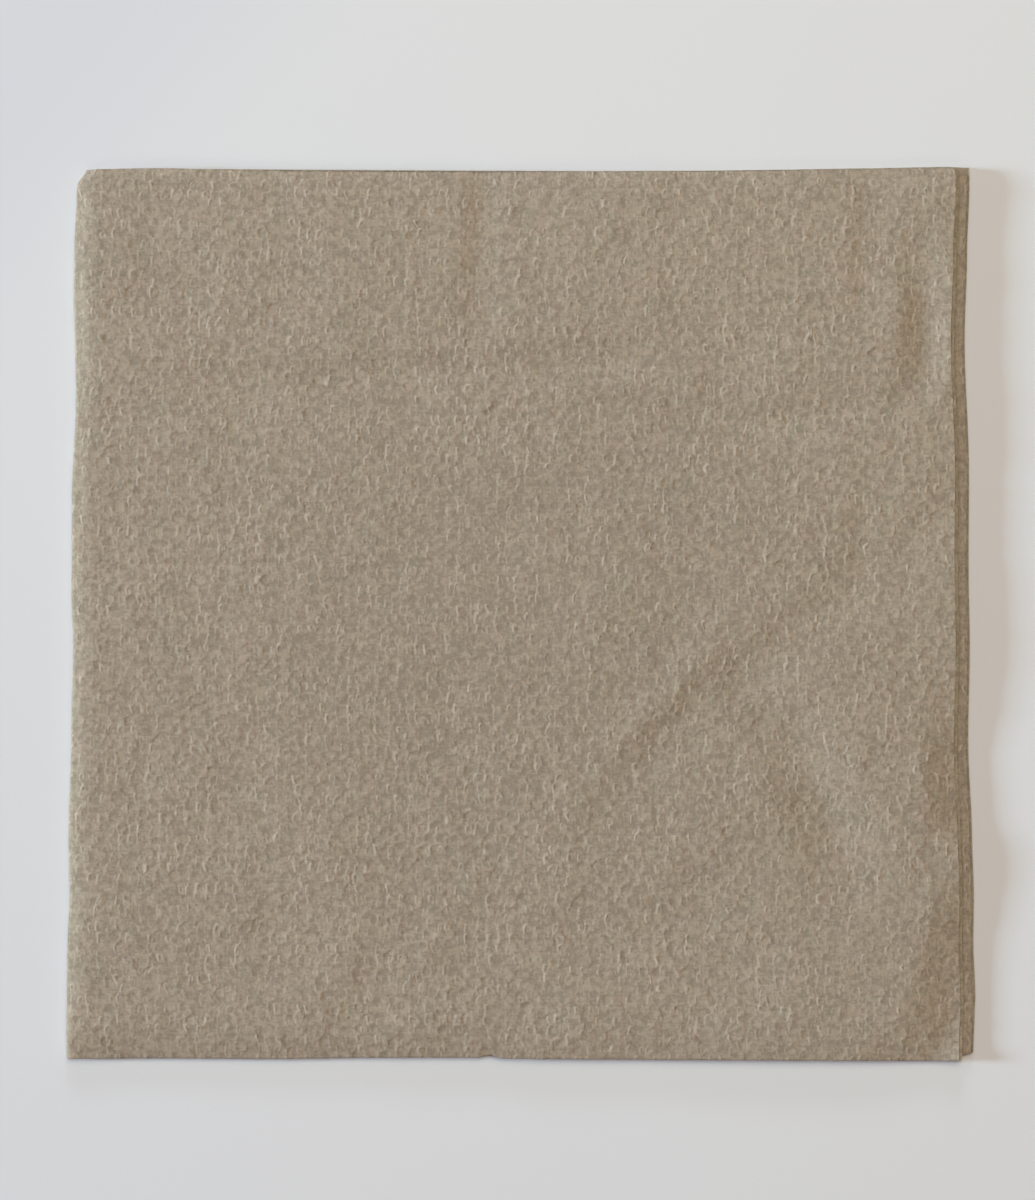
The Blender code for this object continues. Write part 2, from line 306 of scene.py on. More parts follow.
# Lamps: name, place or heading and height in degrees, size, and colour as the share of the
# light that falls on the middle of the table
ROOM_COLOUR = (0.193, 0.100, 0.072)
CEILING_SIZE = (0.5, 0.5)
CEILINGS = (
    ("near_ceiling", (0.105, 0.235, 0.65), (0.428, 0.424, 0.240)),
    ("far_ceiling", (-0.15, 0.15, 0.65), (0.130, 0.142, 0.256)),
)
WINDOW_DISTANCE = 2.0
WINDOWS = (
    ("window", 180, 12.8, (0.30, 0.26), (0.204, 0.279, 0.339)),
    ("side_window", 92, 13.5, (0.6, 0.3), (0.060, 0.070, 0.088)),
    ("front_window", 250, 38.0, (0.6, 0.5), (0.052, 0.052, 0.047)),
)

# Camera: sensor and focal length in millimetres, place, and turn in radians
SENSOR_WIDTH = 36
FOCAL_LENGTH = 97.39
NEAREST_SEEN = 0.01
CAMERA_PLACE = (0.00770, -0.01324, 0.40039)
CAMERA_TURN = (0.0370, 0.0200, -0.0002)

# What follows from these
PITCH = PAPER + LAYER_GAP
AIR = 3 * LAYER_GAP
FIRST_RADIUS = PITCH / 2
SECOND_RADIUS = PITCH
FIRST_HALF_ARC = FIRST_RADIUS * math.pi / 2
SECOND_HALF_ARC = SECOND_RADIUS * math.pi / 2
STACK = 3 * PITCH
LENGTH = SHEET_LENGTH / 2 - FIRST_HALF_ARC
LOWER_WIDTH = (SHEET_WIDTH + UPPER_SETBACK) / 2 - SECOND_HALF_ARC
UPPER_WIDTH = (SHEET_WIDTH - UPPER_SETBACK) / 2 - SECOND_HALF_ARC

# Directions for the materials
ACROSS = (1.0, 0.0, 0.0)
ALONG = (0.0, 1.0, 0.0)


def ease(share):
    """Goes smoothly from 0 to 1 as the share does."""
    share = np.clip(share, 0.0, 1.0)
    return share * share * (3 - 2 * share)


def along_table(shares, place):
    """Reads a table of (place, value) pairs with smooth steps between its points."""
    places, values = np.array(shares).T
    last = np.clip(np.searchsorted(places, place), 1, len(places) - 1)
    start, low = places[last - 1], values[last - 1]
    return low + (values[last] - low) * ease((place - start) / (places[last] - start))


# Where the folded sheet lies


def first_fold(along, outward):
    """Distance from the front fold, height in the pair, and that height in mid-paper."""
    turn = np.clip(along / FIRST_RADIUS, -math.pi / 2, math.pi / 2)
    flat = np.maximum(np.abs(along) - FIRST_HALF_ARC, 0)
    y = flat - (FIRST_RADIUS + outward) * np.cos(turn)
    return y, (FIRST_RADIUS + outward) * np.sin(turn), FIRST_RADIUS * np.sin(turn)


def second_fold(across, height, middle):
    """Distance from the left fold, height in the stack, and that height in mid-paper."""
    turn = np.clip(across / SECOND_RADIUS, -math.pi / 2, math.pi / 2)
    flat = np.maximum(np.abs(across) - SECOND_HALF_ARC, 0)
    slip = middle * math.pi / 2 * SLIP_SHARE
    x = flat * (1 - slip / LOWER_WIDTH) - (SECOND_RADIUS + height) * np.cos(turn)
    return x, (SECOND_RADIUS + height) * np.sin(turn), (SECOND_RADIUS + middle) * np.sin(turn)


def run_distances(x, y, start, end):
    """Distance of points from a straight run, the share along it, and the side they lie on."""
    run = end - start
    length = np.hypot(*run)
    share = np.clip(((x - start[0]) * run[0] + (y - start[1]) * run[1]) / length**2, 0, 1)
    away_x = x - start[0] - share * run[0]
    away_y = y - start[1] - share * run[1]
    side = run[0] * (y - start[1]) - run[1] * (x - start[0])
    return np.hypot(away_x, away_y), share, side


def crease_relief(x, y):
    """Depth of the soft creases under the smooth top, as a negative height."""
    relief = np.zeros_like(x)
    for before_share, past_share, corner_shares in CREASE_SHARES:
        corners = np.array(corner_shares)
        places = corners[:, :2] * (LOWER_WIDTH, LENGTH)
        nearest = np.full_like(x, math.inf)
        depth = np.zeros_like(x)
        past = np.zeros_like(x, bool)
        for k in range(len(corners) - 1):
            distance, share, side = run_distances(x, y, places[k], places[k + 1])
            closer = distance < nearest
            nearest = np.where(closer, distance, nearest)
            depth = np.where(closer, corners[k, 2] + share * (corners[k + 1, 2] - corners[k, 2]), depth)
            past = np.where(closer, side > 0, past)
        width = CREASE_WIDTH * np.where(past, past_share, before_share)
        relief -= CREASE_DEPTH * depth * ease(1 - nearest / width)
    return relief


def waves(x, y, seed, shortest, longest, slope):
    """A random soft swell, made of plane waves that are alike in slope."""
    rng = np.random.default_rng(seed)
    relief = np.zeros_like(x)
    for wavelength in np.geomspace(shortest, longest, WAVES):
        heading, phase = rng.uniform(0, 2 * math.pi, 2)
        number = 2 * math.pi / wavelength
        amplitude = slope / number / math.sqrt(WAVES / 2)
        relief += amplitude * np.sin(number * (x * math.cos(heading) + y * math.sin(heading)) + phase)
    return relief


def rise(x, y):
    """How far the top layer stands over or under its height in a tight stack."""
    share = REST_SHARE + FREE_EDGE_LIFT_SHARE * np.maximum(x / LOWER_WIDTH, 0) ** FREE_EDGE_LIFT_POWER
    left = along_table(LEFT_PRESS_SHARES, np.clip(y / LENGTH, 0, 1))
    share = share - left * np.clip(1 - x / LEFT_PRESS_WIDTH, 0, 1) ** LEFT_PRESS_POWER
    front = along_table(FRONT_PRESS_SHARES, np.clip(x / LOWER_WIDTH, 0, 1))
    share = share - front * np.clip(1 - y / FRONT_PRESS_WIDTH, 0, 1) ** FRONT_PRESS_POWER
    back = np.clip(1 - (LENGTH - y) / BACK_PRESS_WIDTH, 0, 1)
    share = share - BACK_PRESS_SHARE * back**BACK_PRESS_POWER
    return AIR * share + crease_relief(x, y) + waves(x, y, *SWELL)


def wander(x, y, level):
    """Moves points sideways, so that the edges and corners take their true lines."""
    across = np.clip(x / LOWER_WIDTH, 0, 1)
    along = np.clip(y / LENGTH, 0, 1)
    left = EDGE_WAVE * along_table(LEFT_EDGE_SHARES, along)
    right = EDGE_WAVE * along_table(RIGHT_EDGE_SHARES, along)
    front = EDGE_WAVE * along_table(FRONT_EDGE_SHARES, across)
    back = EDGE_WAVE * along_table(BACK_EDGE_SHARES, across)
    skew = UPPER_SKEW * level * across
    tuck = BACK_CORNER_TUCK * ease(1 - (LENGTH - y) / BACK_CORNER_LENGTH) ** 2
    tuck = tuck * ease(1 - x / BACK_CORNER_LENGTH)
    cut = FRONT_CORNER_CUT * (1 - level) * ease(1 - (LOWER_WIDTH - x) / FRONT_CORNER_LENGTH)
    cut = cut * ease(1 - y / FRONT_CORNER_LENGTH)
    nick = ease(1 - np.abs(x - NICK_PLACE_SHARE * LOWER_WIDTH) / NICK_HALF_WIDTH)
    nick = NICK_DEPTH * level * nick * ease(1 - y / NICK_HALF_WIDTH)
    fan = LAYER_FAN * along_table(LAYER_FAN_SHARES, level) * across**FAN_POWER
    moved_x = x - left * (1 - across) + right * across + tuck + fan
    moved_y = y - front * (1 - along) + back * along - skew + cut + nick
    return moved_x, moved_y


def folded(flat):
    """Takes points of the flat slab, (across, along, outward), to the folded napkin."""
    across, along, outward = flat.T
    y, height, middle = first_fold(along, outward)
    x, height, middle = second_fold(across, height, middle)
    level = (middle + STACK / 2) / STACK
    z = height + STACK / 2 + PAPER / 2 + level * rise(x, y)
    x, y = wander(x, y, level)
    return np.stack([x, y, z], axis=1)


# The flat slab


def spaced(length, cells):
    """Distances from a fold to the cut edge, close together near both ends."""
    steps = [EDGE_CELL * EDGE_CELL_GROWTH**count for count in range(EDGE_CELLS)]
    near = [sum(steps[:count]) for count in range(EDGE_CELLS)]
    far = [length - place for place in reversed(near)]
    middle = np.linspace(sum(steps), length - sum(steps), cells)
    return np.array([*near, *middle, *far])


class Slab:
    """Collects the faces of the flat sheet, line by line."""

    def __init__(self):
        self.points = []
        self.faces = []

    def line(self, places):
        start = len(self.points)
        self.points.extend(tuple(float(value) for value in place) for place in places)
        return list(range(start, len(self.points)))

    def add(self, points, faces):
        start = len(self.points)
        self.points.extend(points)
        self.faces.extend(tuple(start + corner for corner in face) for face in faces)

    def join(self, low, high, axis):
        """Fills the strip between two lines, which may have unlike numbers of points."""
        if len(low) == len(high):
            for k in range(len(low) - 1):
                self.faces.append((low[k], low[k + 1], high[k + 1], high[k]))
            return
        i = j = 0
        while i < len(low) - 1 or j < len(high) - 1:
            on_low = self.points[low[min(i + 1, len(low) - 1)]][axis]
            on_high = self.points[high[min(j + 1, len(high) - 1)]][axis]
            if j == len(high) - 1 or (i < len(low) - 1 and on_low <= on_high):
                self.faces.append((low[i], low[i + 1], high[j]))
                i += 1
            else:
                self.faces.append((low[i], high[j + 1], high[j]))
                j += 1

    def grid(self, lines, axis):
        """Fills the strips between lines of points that follow each other."""
        made = [self.line(places) for places in lines]
        for low, high in zip(made, made[1:]):
            self.join(low, high, axis)
        return made


def cell_centres(width, length):
    """Middles of the embossed cells: rows set half a cell apart, each moved at random."""
    rng = np.random.default_rng(EMBOSS_SEED)
    row_step = CELL * math.sqrt(3) / 2
    rows = np.arange(-CELLS_BEYOND, length / row_step + CELLS_BEYOND)
    columns = np.arange(-CELLS_BEYOND, width / CELL + CELLS_BEYOND)
    down, over = np.meshgrid(rows, columns, indexing="ij")
    x = (over + down % 2 / 2) * CELL
    y = down * row_step
    moves = rng.uniform(-CELL_JITTER_SHARE, CELL_JITTER_SHARE, (2, *x.shape)) * CELL
    return np.stack([(x + moves[0]).ravel(), (y + moves[1]).ravel()], axis=1)


def emboss_strength(x, y):
    """How strong the emboss is at a place, from 0 to 1: it is flatter in a few spots."""
    across, along = x / LOWER_WIDTH, y / LENGTH
    strength = np.ones_like(x)
    for middle_across, middle_along, half_width, half_length, loss in FLAT_SPOT_SHARES:
        off_across = (across - middle_across) / half_width
        off_along = (along - middle_along) / half_length
        strength -= loss * np.exp(-off_across**2 - off_along**2)
    return strength


def embossed_panel(width, length):
    """The top panel as a flat mesh with its cells: crest lines round stepped pits."""
    rng = np.random.default_rng(EMBOSS_SEED + 1)
    seeds = cell_centres(width, length)
    scaled = [Vector(place) for place in seeds / CELL]
    verts, _, triangles, *_ = geometry.delaunay_2d_cdt(scaled, [], [], 0, SAME_POINT_SHARE)
    seeds = np.array(verts) * CELL
    crests = np.array([seeds[list(face)].mean(axis=0) for face in triangles])
    ridge = rng.uniform(0, 1, len(crests)) ** RIDGE_POWER * RIDGE_HEIGHT
    fans = [[] for _ in seeds]
    for index, face in enumerate(triangles):
        for corner in face:
            fans[corner].append(index)
    points = [(x, y, z) for (x, y), z in zip(crests, ridge)]
    faces = []
    for seed, fan in zip(seeds, fans):
        inside = -CELL < seed[0] < width + CELL and -CELL < seed[1] < length + CELL
        if not inside:
            continue
        around = crests[fan] - seed
        order = np.argsort(np.arctan2(around[:, 1], around[:, 0]))
        outer = [fan[k] for k in order]
        middle = crests[outer].mean(axis=0)
        pit = PIT_DEPTH * rng.uniform(PIT_LOW_SHARE, 1)
        for share, least, greatest in RING_SHARES:
            start = len(points)
            for k, wall in zip(order, rng.uniform(least, greatest, len(order))):
                x, y = middle + (crests[fan[k]] - middle) * share
                points.append((x, y, ridge[fan[k]] * wall - pit * (1 - wall)))
            inner = list(range(start, len(points)))
            for k in range(len(outer)):
                after = (k + 1) % len(outer)
                faces.append((outer[k], outer[after], inner[after], inner[k]))
            outer = inner
        points.append((*middle, -pit))
        for k in range(len(outer)):
            faces.append((outer[k], outer[(k + 1) % len(outer)], len(points) - 1))
    return points, faces


def cut_panel(points, faces, width, length):
    """Cuts the embossed cells to the panel's rectangle."""
    mesh = bpy.data.meshes.new("embossed")
    mesh.from_pydata(points, [], faces)
    panel = bmesh.new()
    panel.from_mesh(mesh)
    bpy.data.meshes.remove(mesh)
    for place, normal in (((0, 0, 0), (-1, 0, 0)), ((width, 0, 0), (1, 0, 0)),
                          ((0, 0, 0), (0, -1, 0)), ((0, length, 0), (0, 1, 0))):
        everything = panel.verts[:] + panel.edges[:] + panel.faces[:]
        bmesh.ops.bisect_plane(panel, geom=everything, dist=WELD, plane_co=place, plane_no=normal,
                               clear_outer=True)
    bmesh.ops.remove_doubles(panel, verts=panel.verts, dist=SLIVER)
    loose = [vert for vert in panel.verts if not vert.link_faces]
    bmesh.ops.delete(panel, geom=loose, context="VERTS")
    for vert in {vert for edge in panel.edges if edge.is_boundary for vert in edge.verts}:
        for axis, end in ((0, width), (1, length)):
            for side in (0, end):
                if abs(vert.co[axis] - side) < BORDER_REACH:
                    vert.co[axis] = side
    panel.verts.index_update()
    made_points = [tuple(vert.co) for vert in panel.verts]
    made_faces = [tuple(vert.index for vert in face.verts) for face in panel.faces]
    panel.free()
    return made_points, made_faces


def border(points, axis, value):
    """Points of the cut panel on one of its borders, in order."""
    other = 1 - axis
    return sorted((point for point in points if point[axis] == value), key=lambda point: point[other])


def flat_slab():
    """The whole sheet laid flat, as (across, along, outward), with its embossed panel."""
    half = PAPER / 2
    left_arc, front_arc = SECOND_HALF_ARC, FIRST_HALF_ARC
    points, faces = cut_panel(*embossed_panel(UPPER_WIDTH, LENGTH), UPPER_WIDTH, LENGTH)
    x, y, z = np.array(points).T
    z = z * emboss_strength(x, y) + waves(x, y, *PUCKER)
    points = list(zip(x, y, z))
    panel_width, panel_length = x.max(), y.max()
    slab = Slab()
    slab.add([(left_arc + x, front_arc + y, half + z) for x, y, z in points], faces)

    # Borders of the panel, as (place along the border, height) pairs
    left = [(front_arc + y, z) for _, y, z in border(points, 0, 0)]
    front = [(left_arc + x, z) for x, _, z in border(points, 1, 0)]
    right = [(front_arc + y, z) for _, y, z in border(points, 0, panel_width)]
    back = [(left_arc + x, z) for x, _, z in border(points, 1, panel_length)]

    # Grid lines of the plain parts: hidden layers, rounds of the folds, and the underside
    arc_shares = [2 * count / FOLD_CELLS - 1 for count in range(FOLD_CELLS + 1)]
    hidden_along = [-front_arc - place for place in reversed(spaced(LENGTH, HIDDEN_CELLS))]
    hidden_across = [left_arc + place for place in spaced(UPPER_WIDTH, HIDDEN_CELLS)]
    fold_along = [front_arc * share for share in arc_shares]
    under_along = [front_arc + place for place in spaced(LENGTH, UNDERSIDE_CELLS)]
    under_across = [-left_arc - place for place in reversed(spaced(LOWER_WIDTH, UNDERSIDE_CELLS))]
    plain_along = hidden_along + fold_along[1:-1] + under_along

    def round_column(side):
        """A line of points up one side: the hidden half, the round of the fold, the border."""
        relief = [side[0][1] * ease((share + 1) / 2) for share in arc_shares[1:-1]]
        return [(y, 0.0) for y in hidden_along] + list(zip(fold_along[1:-1], relief)) + side

    # Outer face of layers 1 and 2, and round of the second fold
    lines = [[(x, y, half) for y in plain_along] for x in under_across]
    for share in arc_shares[1:]:
        fade = ease((share + 1) / 2)
        lines.append([(left_arc * share, y, half + z * fade) for y, z in round_column(left)])
    outer = slab.grid(lines, 1)

    # Round of the first fold between layers 3 and 4, and outer face of layer 3
    lines = [[(x, -front_arc, half) for x in hidden_across]]
    for share in arc_shares[1:]:
        fade = ease((share + 1) / 2)
        lines.append([(x, front_arc * share, half + z * fade) for x, z in front])
    slab.grid(lines, 0)
    slab.grid([[(x, y, half) for x in hidden_across] for y in hidden_along], 0)

    # Inner face
    inner_across = (
        [-left_arc - place for place in reversed(spaced(LOWER_WIDTH, HIDDEN_CELLS))]
        + [left_arc * share for share in arc_shares[1:-1]]
        + [left_arc + place for place in spaced(UPPER_WIDTH, UNDERSIDE_CELLS)]
    )
    slab.grid([[(x, y, -half) for y in plain_along] for x in inner_across], 1)

    # Cut edges
    far_left, far_right = under_across[0], hidden_across[-1]
    near, far = hidden_along[0], under_along[-1]
    outer_right = [(far_right, y, half + z) for y, z in round_column(right)]
    outer_left = [(far_left, y, half) for y in plain_along]
    outer_near = [slab.points[column[0]] for column in outer]
    outer_near += [(x, near, half) for x in hidden_across[1:]]
    outer_back = [(x, far, z) for x, _, z in (slab.points[column[-1]] for column in outer)]
    outer_back += [(x, far, half + z) for x, z in back[1:]]
    for line, axis, inside in (
        (outer_left, 1, [(far_left, y, -half) for y in plain_along]),
        (outer_right, 1, [(far_right, y, -half) for y in plain_along]),
        (outer_near, 0, [(x, near, -half) for x in inner_across]),
        (outer_back, 0, [(x, far, -half) for x in inner_across]),
    ):
        slab.grid([line, inside], axis)
    return slab


def napkin_piece():
    """The folded napkin as one closed mesh, centred in the frame's box."""
    slab = flat_slab()
    mesh = bpy.data.meshes.new("folded_napkin")
    mesh.from_pydata(slab.points, [], slab.faces)
    work = bmesh.new()
    work.from_mesh(mesh)
    bmesh.ops.remove_doubles(work, verts=work.verts, dist=WELD)
    open_edges = [edge for edge in work.edges if not edge.is_manifold]
    if open_edges:
        place = tuple(open_edges[0].verts[0].co)
        raise ValueError(f"the slab has {len(open_edges)} open edges, one of them at {place}")
    bmesh.ops.recalc_face_normals(work, faces=work.faces)
    work.to_mesh(mesh)
    work.free()
    flat = np.empty(len(mesh.vertices) * 3, np.float32)
    mesh.vertices.foreach_get("co", flat)
    places = folded(flat.reshape(-1, 3).astype(float))
    low, high = (np.array(corner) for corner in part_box("napkin"))
    middle = (places.min(axis=0) + places.max(axis=0)) / 2
    places[:, :2] += ((low + high) / 2 - middle)[:2]
    mesh.vertices.foreach_set("co", places.astype(np.float32).ravel())
    mesh.update()
    mesh.shade_smooth()
    mesh.set_sharp_from_angle(angle=math.radians(SHARP_ANGLE))
    piece = bpy.data.objects.new("folded_napkin", mesh)
    bpy.context.scene.collection.objects.link(piece)
    return piece


# Materials


class Graph:
    """A material's nodes. Values may be numbers or the outputs of other nodes."""

    def __init__(self, name, roughness):
        self.material = bpy.data.materials.new(name)
        self.material.use_nodes = True
        self.tree = self.material.node_tree
        self.surface = self.tree.nodes["Principled BSDF"]
        self.surface.inputs["Roughness"].default_value = roughness
        self.surface.inputs["Specular IOR Level"].default_value = SPECULAR_LEVEL
        place = self.tree.nodes.new("ShaderNodeTexCoord").outputs["Object"]
        self.place = self.vector("SCALE", place)
        self.place.node.inputs["Scale"].default_value = MILLIMETRES

    def put(self, socket, value):
        if isinstance(value, bpy.types.NodeSocket):
            self.tree.links.new(value, socket)
        else:
            socket.default_value = value

    def math(self, operation, *values, clamp=False):
        node = self.tree.nodes.new("ShaderNodeMath")
        node.operation = operation
        node.use_clamp = clamp
        for socket, value in zip(node.inputs, values):
            self.put(socket, value)
        return node.outputs[0]

    def vector(self, operation, *values):
        node = self.tree.nodes.new("ShaderNodeVectorMath")
        node.operation = operation
        for socket, value in zip(node.inputs, values):
            self.put(socket, value)
        return node.outputs["Value"] if operation == "DOT_PRODUCT" else node.outputs["Vector"]

    def dot(self, first, second):
        return self.vector("DOT_PRODUCT", first, second)

    def turned(self, angle, length, width, offset):
        """Coordinates for grain of this length and width, in millimetres, at an angle."""
        node = self.tree.nodes.new("ShaderNodeMapping")
        node.vector_type = "TEXTURE"
        node.inputs["Location"].default_value = (offset, -offset, 0)
        node.inputs["Rotation"].default_value = (0, 0, math.radians(angle))
        node.inputs["Scale"].default_value = (length, width, width)
        self.put(node.inputs["Vector"], self.place)
        return node.outputs[0]

    def noise(self, place, size, detail, roughness=0.5):
        """Soft noise between -1 and 1, mostly well inside, with grain of this size."""
        node = self.tree.nodes.new("ShaderNodeTexNoise")
        node.inputs["Scale"].default_value = 1 / size
        node.inputs["Detail"].default_value = detail
        node.inputs["Roughness"].default_value = roughness
        self.put(node.inputs["Vector"], place)
        return self.math("MULTIPLY_ADD", node.outputs[0], 2.0, -1.0)

    def cells(self, place, spacing, dimensions="2D", randomness=1.0):
        """A node that splits space into cells, each with a middle and a random colour."""
        node = self.tree.nodes.new("ShaderNodeTexVoronoi")
        node.voronoi_dimensions = dimensions
        node.inputs["Scale"].default_value = 1 / spacing
        node.inputs["Randomness"].default_value = randomness
        self.put(node.inputs["Vector"], place)
        return node

    def over(self, value, start, end):
        """Goes smoothly from 0 to 1 while the value goes from start to end."""
        node = self.tree.nodes.new("ShaderNodeMapRange")
        node.interpolation_type = "SMOOTHSTEP"
        node.inputs["From Min"].default_value = start
        node.inputs["From Max"].default_value = end
        self.put(node.inputs["Value"], value)
        return node.outputs[0]

    def share(self, signal, contrast=0.5):
        """Turns a signal about 0 into a share from 0 to 1."""
        return self.math("MULTIPLY_ADD", signal, contrast, 0.5, clamp=True)

    def total(self, terms):
        """Sum of weighted signals, given as (weight, signal) pairs."""
        weight, signal = terms[0]
        result = self.math("MULTIPLY", signal, weight)
        for weight, signal in terms[1:]:
            result = self.math("MULTIPLY_ADD", signal, weight, result)
        return result

    def weighted(self, weights, signals):
        """Sum of the signals that the weights name."""
        return self.total([(weight, signals[name]) for name, weight in weights.items()])

    def blend(self, share, first, second, kind="MIX"):
        node = self.tree.nodes.new("ShaderNodeMix")
        node.data_type = "RGBA"
        node.blend_type = kind
        self.put(node.inputs["Factor"], share)
        self.put(node.inputs[6], first)
        self.put(node.inputs[7], second)
        return node.outputs[2]

    def bump(self, height, depth):
        node = self.tree.nodes.new("ShaderNodeBump")
        node.inputs["Distance"].default_value = depth
        self.put(node.inputs["Height"], height)
        self.put(self.surface.inputs["Normal"], node.outputs[0])


def shade(colour, factor=1.0):
    """An opaque colour, darker or lighter by a factor."""
    return tuple(channel * factor for channel in colour) + (1.0,)


def strokes(graph, spacing, length, width, spread, offset):
    """Short strokes strewn over the sheet, and a shadow of each on its right.

    They lie along the sheet's length, turned at random by up to half the spread in degrees.
    """
    place = graph.vector("ADD", graph.place, (offset, -offset, 0))
    cells = graph.cells(place, spacing)
    away = graph.vector("SUBTRACT", place, cells.outputs["Position"])
    first = graph.dot(cells.outputs["Color"], ACROSS)
    second = graph.dot(cells.outputs["Color"], ALONG)
    turn = graph.tree.nodes.new("ShaderNodeVectorRotate")
    turn.rotation_type = "Z_AXIS"
    angle = graph.math("MULTIPLY_ADD", first, math.radians(spread), -math.radians(spread) / 2)
    graph.put(turn.inputs["Vector"], away)
    graph.put(turn.inputs["Angle"], angle)
    across = graph.dot(turn.outputs[0], ACROSS)
    along = graph.math("ABSOLUTE", graph.dot(turn.outputs[0], ALONG))
    half_length = graph.math("MULTIPLY_ADD", second, length * STROKE_VARIED_SHARE,
                             length * STROKE_LEAST_SHARE)
    reach = graph.math("DIVIDE", along, half_length)
    strength = graph.math("MULTIPLY", graph.over(reach, 1.0, STROKE_END_SHARE),
                          graph.math("POWER", second, STROKE_POWER))
    marks = []
    for step in (0.0, width * STROKE_SHADOW_SHARE):
        side = graph.math("ABSOLUTE", graph.math("SUBTRACT", across, step))
        marks.append(graph.math("MULTIPLY", graph.over(side, width / STROKE_TAPER, 0.0), strength))
    return marks


def dimples(graph, spacing, radius, width, offset):
    """Shallow round dimples in uneven rows, by their raised rims.

    Returns the whole rims, their lit part as painted highlight, and painted shade just inside it.
    """
    place = graph.vector("ADD", graph.place, (offset, offset, 0))
    waver = graph.tree.nodes.new("ShaderNodeTexNoise")
    waver.inputs["Scale"].default_value = DIMPLE_WAVER_SHARE / spacing
    waver.inputs["Detail"].default_value = 1.0
    graph.put(waver.inputs["Vector"], place)
    moved = graph.vector("MULTIPLY_ADD", waver.outputs["Color"], (spacing, spacing, 0), place)
    cells = graph.cells(moved, spacing, randomness=DIMPLE_RANDOMNESS)
    away = graph.vector("SUBTRACT", moved, cells.outputs["Position"])
    away = graph.vector("MULTIPLY", away, DIMPLE_STRETCH)
    squares = graph.vector("MULTIPLY", away, away)
    # A distance whose rings are rounded squares
    reach = graph.math("POWER", graph.dot(squares, squares), 1 / 4)
    first = graph.dot(cells.outputs["Color"], ACROSS)
    second = graph.dot(cells.outputs["Color"], ALONG)
    size = graph.math("MULTIPLY_ADD", first, DIMPLE_VARIED_SHARE, DIMPLE_LEAST_SHARE)
    reach = graph.math("MULTIPLY", reach, size)
    strength = graph.math("POWER", second, DIMPLE_POWER)
    toward_light = graph.math("DIVIDE", graph.dot(away, DIMPLE_LIT_SIDE), reach)
    lit = graph.over(toward_light, *DIMPLE_LIT_SHARES)
    marks = []
    for middle in (radius, radius - width):
        off = graph.math("ABSOLUTE", graph.math("SUBTRACT", reach, middle))
        marks.append(graph.math("MULTIPLY", graph.over(off, width, 0.0), strength))
    rim, bank_shade = marks
    # The lit part of a rim carries a painted highlight, and the bank inside it painted shade
    return rim, graph.math("MULTIPLY", rim, lit), graph.math("MULTIPLY", bank_shade, lit)


def specks(graph, spacing, radius, share, offset):
    """Sparse round specks: 1 inside them, 0 elsewhere."""
    place = graph.vector("ADD", graph.place, (offset, offset, 0))
    cells = graph.cells(place, spacing, dimensions="3D")
    near = graph.over(cells.outputs["Distance"], radius / spacing, radius * SPECK_CORE_SHARE / spacing)
    pick = graph.dot(cells.outputs["Color"], ACROSS)
    return graph.math("MULTIPLY", near, graph.math("LESS_THAN", pick, share))


def tissue_signals(graph):
    """All that marks the tissue, by name: noise and weave about 0, and the rest from 0 to 1."""
    signals = {name: graph.noise(graph.place, *grain) for name, grain in GRAINS.items()}
    signals["felt"] = graph.total([
        (weight, graph.noise(graph.turned(angle, FELT_LENGTH, FELT_WIDTH, offset=angle), 1.0, 0.0))
        for angle, weight in FELT_ANGLES
    ])
    signals["weave"] = graph.total([
        (weight, graph.math("SINE", graph.dot(graph.place, (
            2 * math.pi * across, 2 * math.pi * along, 0))))
        for across, along, weight in WIRE_WAVES
    ])
    # The wall strokes are painted highlights, with painted shadows beside them
    signals["strokes"], signals["stroke shadows"] = strokes(graph, *WALL_HIGHLIGHT_STROKES)
    signals["light fibres"] = strokes(graph, *LIGHT_FIBRES)[0]
    signals["dark fibres"] = strokes(graph, *DARK_FIBRES)[0]
    # The lit rims get a painted highlight and the banks inside them painted shade
    signals["rims"], signals["painted rim highlights"], signals["painted bank shade"] = dimples(graph, *DIMPLES)
    # Painted shade where the speckle makes pits between the fibres
    signals["pits"] = graph.over(signals["speckle"], PIT_SHADE_START, PIT_SHADE_END)
    signals["middle"] = graph.over(graph.dot(graph.place, graph.place), MIDDLE_SQUARE, 0.0)
    return signals


def tissue_material():
    graph = Graph("kraft_tissue", TISSUE_ROUGHNESS)
    signals = tissue_signals(graph)
    tone = graph.share(graph.weighted(TONE_WEIGHTS, signals))
    colour = graph.blend(tone, shade(TISSUE, 1 - TONE_RANGE), shade(TISSUE, 1 + TONE_RANGE))
    tint = graph.blend(graph.share(signals["tint"], TINT_CONTRAST), shade(GREEN_TINT), shade(RED_TINT))
    colour = graph.blend(TINT_SHARE, colour, tint)
    # Paints shade and dark fibres, then highlights and light fibres
    colour = graph.blend(graph.weighted(DARK_WEIGHTS, signals), colour, shade(DARK_FIBRE_AND_SHADE))
    colour = graph.blend(graph.weighted(LIGHT_WEIGHTS, signals), colour, shade(LIGHT_FIBRE_AND_HIGHLIGHT))
    colour = graph.blend(specks(graph, *SPECKS), colour, shade(SPECK))
    # Painted light: the lit left fold is tinted warmer
    fold = graph.over(graph.dot(graph.place, ACROSS), FOLD_TINT_START, FOLD_TINT_END)
    colour = graph.blend(fold, colour, shade(FOLD_LIGHT_TINT), "MULTIPLY")
    graph.put(graph.surface.inputs["Base Color"], colour)
    graph.bump(graph.weighted(BUMP_WEIGHTS, signals), GRAIN_DEPTH)
    return graph.material


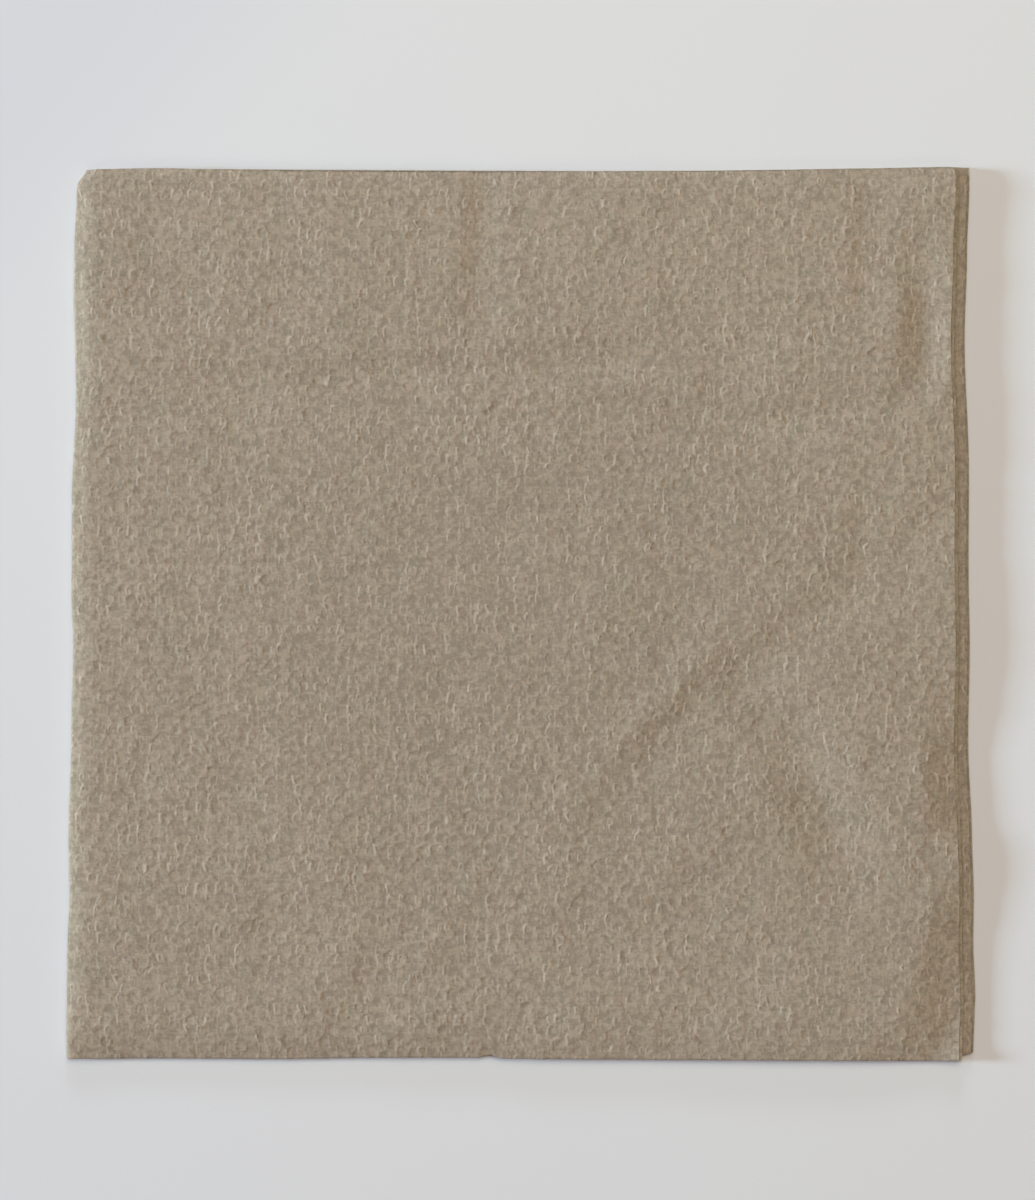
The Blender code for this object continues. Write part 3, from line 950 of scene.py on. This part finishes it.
def table_material():
    graph = Graph("pale_table", TABLE_ROUGHNESS)
    grain = graph.total([
        (weight, graph.noise(graph.place, size, detail)) for size, detail, weight in TABLE_GRAINS
    ])
    dark, light = shade(TABLE, 1 - TABLE_RANGE), shade(TABLE, 1 + TABLE_RANGE)
    colour = graph.blend(graph.share(grain), dark, light)
    # Painted shade: the far left corner of the table is darker and bluer
    corner = graph.over(graph.dot(graph.place, CORNER_SIDE), CORNER_START, CORNER_END)
    colour = graph.blend(corner, colour, shade(TABLE_SHADED_CORNER))
    graph.put(graph.surface.inputs["Base Color"], colour)
    far = graph.over(graph.dot(graph.place, graph.place), BACKDROP_START**2, BACKDROP_END**2)
    seen = graph.tree.nodes.new("ShaderNodeLightPath").outputs["Is Camera Ray"]
    glow = graph.tree.nodes.new("ShaderNodeEmission")
    glow.inputs["Color"].default_value = shade(BACKDROP)
    mix = graph.tree.nodes.new("ShaderNodeMixShader")
    graph.put(mix.inputs[0], graph.math("MULTIPLY", far, seen))
    graph.put(mix.inputs[1], graph.surface.outputs[0])
    graph.put(mix.inputs[2], glow.outputs[0])
    graph.put(graph.tree.nodes["Material Output"].inputs["Surface"], mix.outputs[0])
    return graph.material


# Table, light and camera


def table():
    bpy.ops.mesh.primitive_plane_add(size=TABLE_SIZE, location=(0, 0, -TABLE_DROP))
    floor = bpy.context.object
    floor.name = "table"
    floor.data.materials.append(table_material())


def lamp(name, place, size, colour):
    """A soft lamp that lights the middle of the table with this colour."""
    place = Vector(place)
    made = bpy.data.lights.new(name, "AREA")
    made.shape = "RECTANGLE"
    made.size, made.size_y = size
    made.color = [channel / max(colour) for channel in colour]
    # Light fades with the square of the distance and with how slantwise it falls
    made.energy = max(colour) * math.pi**2 * place.length_squared * place.length / place.z
    holder = bpy.data.objects.new(name, made)
    holder.location = place
    holder.rotation_euler = (-place).to_track_quat("-Z", "Y").to_euler()
    bpy.context.scene.collection.objects.link(holder)


def room():
    """The surroundings: dim light for the napkin, and a pale backdrop for the camera alone."""
    world = bpy.data.worlds.new("room")
    bpy.context.scene.world = world
    world.use_nodes = True
    background = world.node_tree.nodes["Background"]
    seen = world.node_tree.nodes.new("ShaderNodeLightPath").outputs["Is Camera Ray"]
    choice = world.node_tree.nodes.new("ShaderNodeMix")
    choice.data_type = "RGBA"
    choice.inputs[6].default_value = shade(ROOM_COLOUR)
    choice.inputs[7].default_value = shade(BACKDROP)
    world.node_tree.links.new(choice.inputs["Factor"], seen)
    world.node_tree.links.new(background.inputs["Color"], choice.outputs[2])
    background.inputs["Strength"].default_value = 1.0


def lamps():
    for name, place, colour in CEILINGS:
        lamp(name, place, CEILING_SIZE, colour)
    for name, heading, height, size, colour in WINDOWS:
        turn, climb = math.radians(heading), math.radians(height)
        away = Vector((math.cos(climb) * math.cos(turn), math.cos(climb) * math.sin(turn),
                       math.sin(climb)))
        lamp(name, away * WINDOW_DISTANCE, size, colour)


def camera():
    lens = bpy.data.cameras.new("camera")
    lens.sensor_fit = "HORIZONTAL"
    lens.sensor_width = SENSOR_WIDTH
    lens.lens = FOCAL_LENGTH
    lens.clip_start = NEAREST_SEEN
    eye = bpy.data.objects.new("camera", lens)
    eye.location = CAMERA_PLACE
    eye.rotation_euler = CAMERA_TURN
    bpy.context.scene.collection.objects.link(eye)
    bpy.context.scene.camera = eye


napkin = napkin_piece()
napkin.data.materials.append(tissue_material())
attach(napkin, "root")
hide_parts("napkin")
table()
room()
lamps()
camera()
bpy.context.scene.view_settings.view_transform = "Standard"
